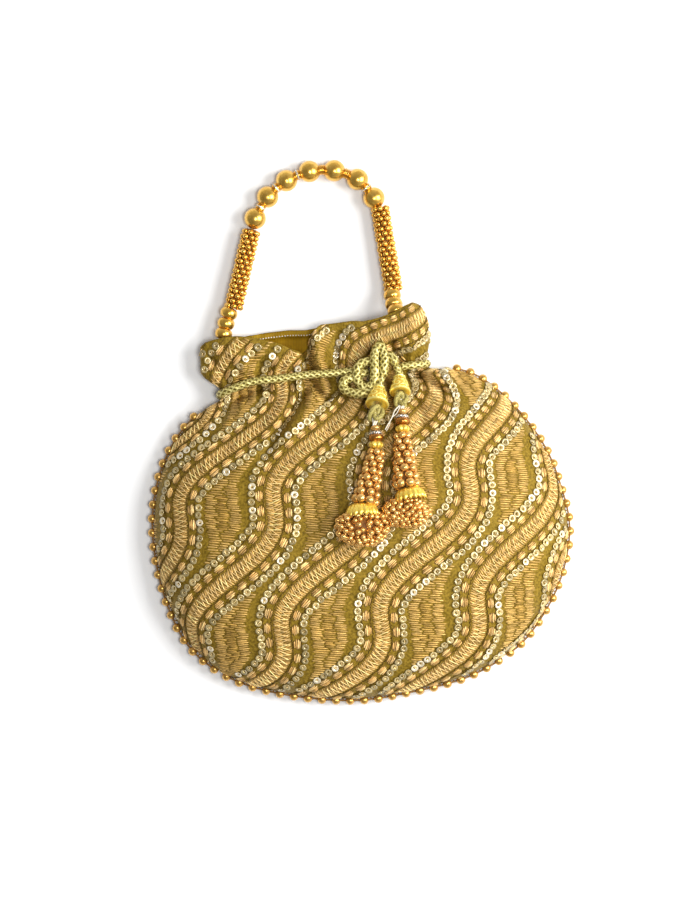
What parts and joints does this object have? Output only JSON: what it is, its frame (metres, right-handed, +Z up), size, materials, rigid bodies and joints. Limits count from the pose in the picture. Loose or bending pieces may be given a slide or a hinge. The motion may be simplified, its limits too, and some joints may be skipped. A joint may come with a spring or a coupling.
{
  "type": "potli bag",
  "caption": "Small gathered drawstring evening bag in embroidered cloth, with beaded edge, bead handle and two beaded tassels on a tied cord.",
  "frame": {"origin": "centre of the bag's box on the surface that it lies on", "axes": "+Y from the bag's bottom towards its handle, +Z up out of its front, +X to the right as seen from the front"},
  "size_m": [0.2398, 0.3064, 0.0601],
  "materials": {
    "brocade": "olive-gold cloth covered in thread embroidery and small ring sequins",
    "lining_silk": "olive-gold silk, soft sheen",
    "metallic_cord": "braided metallic thread, lime gold",
    "satin_gold": "satin gold plating",
    "pearl_gold": "antique satin gold beads",
    "gold_ring": "polished gold rings",
    "seed_gold": "polished gold seed beads",
    "cap_gold": "bright stamped gold metal",
    "silver": "bright silver set with clear stones",
    "crystal": "clear cut glass in a gold rim",
    "thread": "twisted metallic thread"
  },
  "bodies": {
    "bag": {"front_panel": "brocade", "back_panel": "brocade", "lining": "lining_silk", "edge_beads_left": "pearl_gold", "edge_beads_bottom": "pearl_gold", "edge_beads_right": "pearl_gold", "drawstring": "metallic_cord", "bow": "metallic_cord", "handle_anchor_left": "thread", "handle_anchor_right": "thread"},
    "handle": {"handle_bead_1": "satin_gold", "handle_bead_2": "satin_gold", "handle_bead_3": "satin_gold", "handle_bead_4": "satin_gold", "handle_bead_5": "satin_gold", "handle_bead_6": "satin_gold", "handle_bead_7": "satin_gold", "handle_spacer_1": "crystal", "handle_spacer_2": "crystal", "handle_spacer_3": "crystal", "handle_spacer_4": "gold_ring", "handle_spacer_5": "gold_ring", "handle_spacer_6": "crystal", "woven_tube_left": "seed_gold", "woven_tube_right": "seed_gold", "end_bead_left_1": "satin_gold", "end_bead_left_2": "satin_gold", "end_bead_left_3": "satin_gold", "end_bead_right_1": "satin_gold", "end_bead_right_2": "satin_gold", "end_bead_right_3": "satin_gold", "handle_cord": "thread"},
    "tassel_left": {"tassel_left_cone": "cap_gold", "tassel_left_thread_knot": "thread", "tassel_left_ring_bead": "satin_gold", "tassel_left_rondelle": "silver", "tassel_left_flat_ring": "satin_gold", "tassel_left_star_bead": "satin_gold", "tassel_left_bead_tube": "seed_gold", "tassel_left_fluted_cap": "cap_gold", "tassel_left_cluster": "seed_gold", "tassel_left_cord": "thread"},
    "tassel_right": {"tassel_right_cone": "cap_gold", "tassel_right_thread_knot": "thread", "tassel_right_ring_bead": "satin_gold", "tassel_right_rondelle": "silver", "tassel_right_flat_ring": "satin_gold", "tassel_right_star_bead": "satin_gold", "tassel_right_bead_tube": "seed_gold", "tassel_right_fluted_cap": "cap_gold", "tassel_right_cluster": "seed_gold", "tassel_right_cord": "thread"}
  },
  "joints": [
    {"name": "handle_swing", "type": "hinge", "parent": "bag", "child": "handle", "pos_m": [-0.0772, 0.0552, 0.0086], "axis": [0.9886, 0.1266, 0.0817], "range_deg": [0, 100]},
    {"name": "tassel_left_lift", "type": "hinge", "parent": "bag", "child": "tassel_left", "pos_m": [0.0104, 0.026, 0.0274], "axis": [-1, 0, 0], "range_deg": [0, 70]},
    {"name": "tassel_right_lift", "type": "hinge", "parent": "bag", "child": "tassel_right", "pos_m": [0.0214, 0.0322, 0.025], "axis": [-1, 0, 0], "range_deg": [0, 70]}
  ]
}
